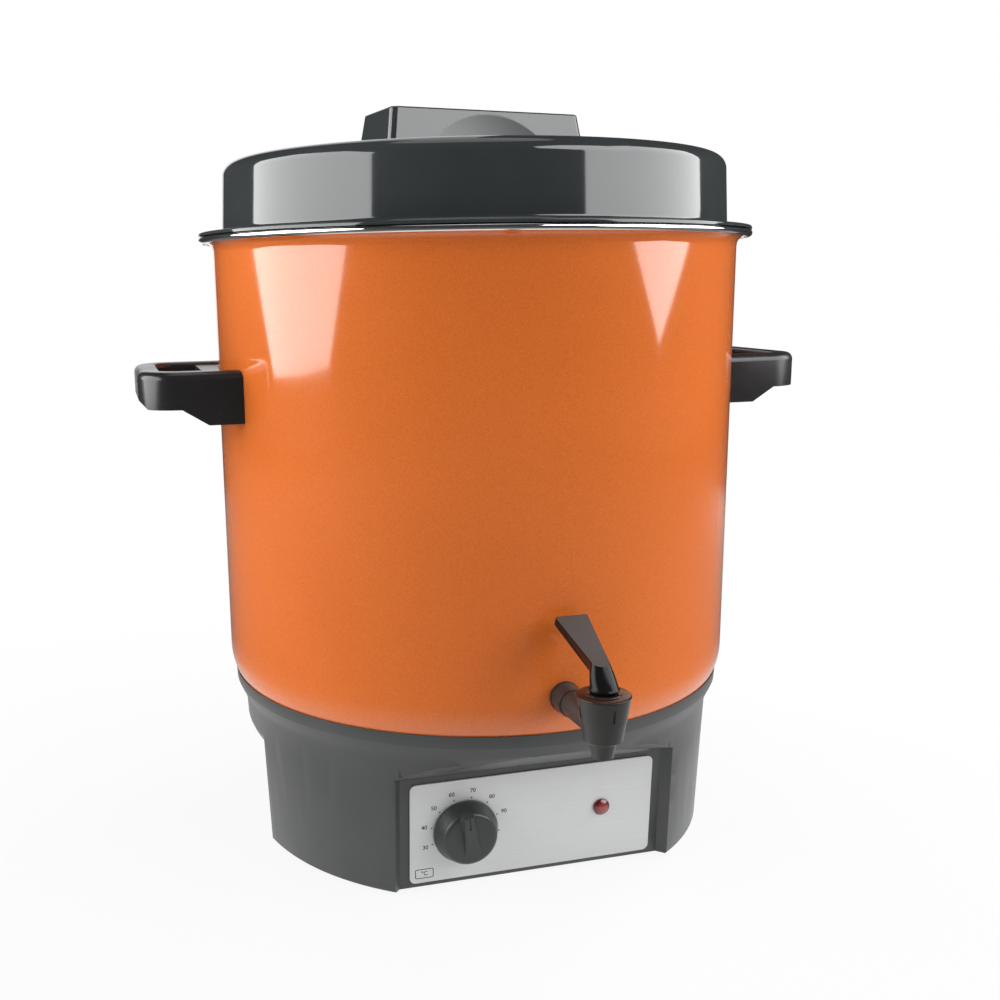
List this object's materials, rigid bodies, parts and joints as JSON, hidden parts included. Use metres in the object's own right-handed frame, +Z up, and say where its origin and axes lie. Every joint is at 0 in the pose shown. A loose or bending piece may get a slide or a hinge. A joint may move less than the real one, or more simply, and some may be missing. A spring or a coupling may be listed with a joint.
{
  "type": "mulled wine kettle",
  "caption": "Electric mulled wine kettle: orange enamelled pot with a loose lid, side handles and a lever tap on a grey base with a dial thermostat and lamp.",
  "frame": {"origin": "on the pot's axis at the level of the floor that the feet stand on", "axes": "+Z up along the pot's axis; -Y is the front with the tap and the control panel; +X is to the right of someone facing the front"},
  "size_m": [0.458, 0.4297, 0.4856],
  "materials": {
    "orange_enamel": "glossy enamel",
    "rim_chrome": "polished",
    "lid_plastic": "glossy",
    "handle_plastic": "satin",
    "fastener_steel": "plated",
    "base_plastic": "satin",
    "seal_rubber": "matt silicone",
    "plate_steel": "zinc plated",
    "foot_rubber": "matt",
    "panel_aluminium": "satin anodised",
    "knob_plastic": "satin",
    "ivory_plastic": "matt",
    "sensor_copper": "bare copper",
    "lamp_red": "clear red",
    "spreader_aluminium": "turned",
    "element_steel": "heat darkened",
    "tap_plastic": "semi gloss",
    "bonnet_plastic": "semi gloss",
    "lever_plastic": "semi gloss"
  },
  "bodies": {
    "kettle": {"pot": "orange_enamel", "rim_ring": "rim_chrome", "left_handle": "handle_plastic", "right_handle": "handle_plastic", "handle_nuts": "fastener_steel", "handle_washers": "fastener_steel", "base_housing": "base_plastic", "base_collar": "base_plastic", "handle_studs": "fastener_steel", "clamp_stud": "fastener_steel", "pot_bottom": "orange_enamel", "base_seal": "seal_rubber", "base_plate": "plate_steel", "base_screws": "fastener_steel", "feet": "foot_rubber", "control_panel": "panel_aluminium", "thermostat_body": "ivory_plastic", "thermostat_screws": "fastener_steel", "thermostat_sensor": "sensor_copper", "pilot_lamp_lens": "lamp_red", "pilot_lamp_body": "ivory_plastic", "heat_spreader": "spreader_aluminium", "heating_element": "element_steel", "clamp_bar": "plate_steel", "heat_shield": "plate_steel", "clamp_nut": "fastener_steel", "thermal_cutout": "handle_plastic", "terminal_block": "ivory_plastic", "cord_gland": "handle_plastic", "tap_body": "tap_plastic", "tap_gasket_outer": "foot_rubber", "tap_gasket_inner": "foot_rubber", "tap_nut": "tap_plastic", "tap_bonnet": "bonnet_plastic", "stem_spring": "fastener_steel"},
    "lid": {"lid": "lid_plastic"},
    "dial": {"knob": "knob_plastic", "thermostat_shaft": "fastener_steel"},
    "spindle": {"tap_stem": "fastener_steel", "lever_pin": "fastener_steel", "seat_cup": "seal_rubber"},
    "lever": {"tap_lever": "lever_plastic"}
  },
  "joints": [
    {"name": "lid_lift", "type": "slide", "parent": "kettle", "child": "lid", "axis": [0, 0, 1], "range_m": [0, 0.15]},
    {"name": "knob_turn", "type": "hinge", "parent": "kettle", "child": "dial", "pos_m": [-0.048, -0.13001, 0.03794], "axis": [0, 0.9984, 0.0558], "range_deg": [-98, 138]},
    {"name": "spindle_lift", "type": "slide", "parent": "kettle", "child": "spindle", "axis": [0, 0, 1], "range_m": [0, 0.00374], "stiffness_N_per_m": 100, "springref_m": -0.005, "deforming": ["stem_spring"]},
    {"name": "lever_tilt", "type": "hinge", "parent": "spindle", "child": "lever", "pos_m": [0, -0.23, 0.1627], "axis": [1, 0, 0], "range_deg": [0, 40]}
  ],
  "couplings": [
    {"joint": "lever_tilt", "follows": "spindle_lift", "rad_per_m": 186.22}
  ]
}
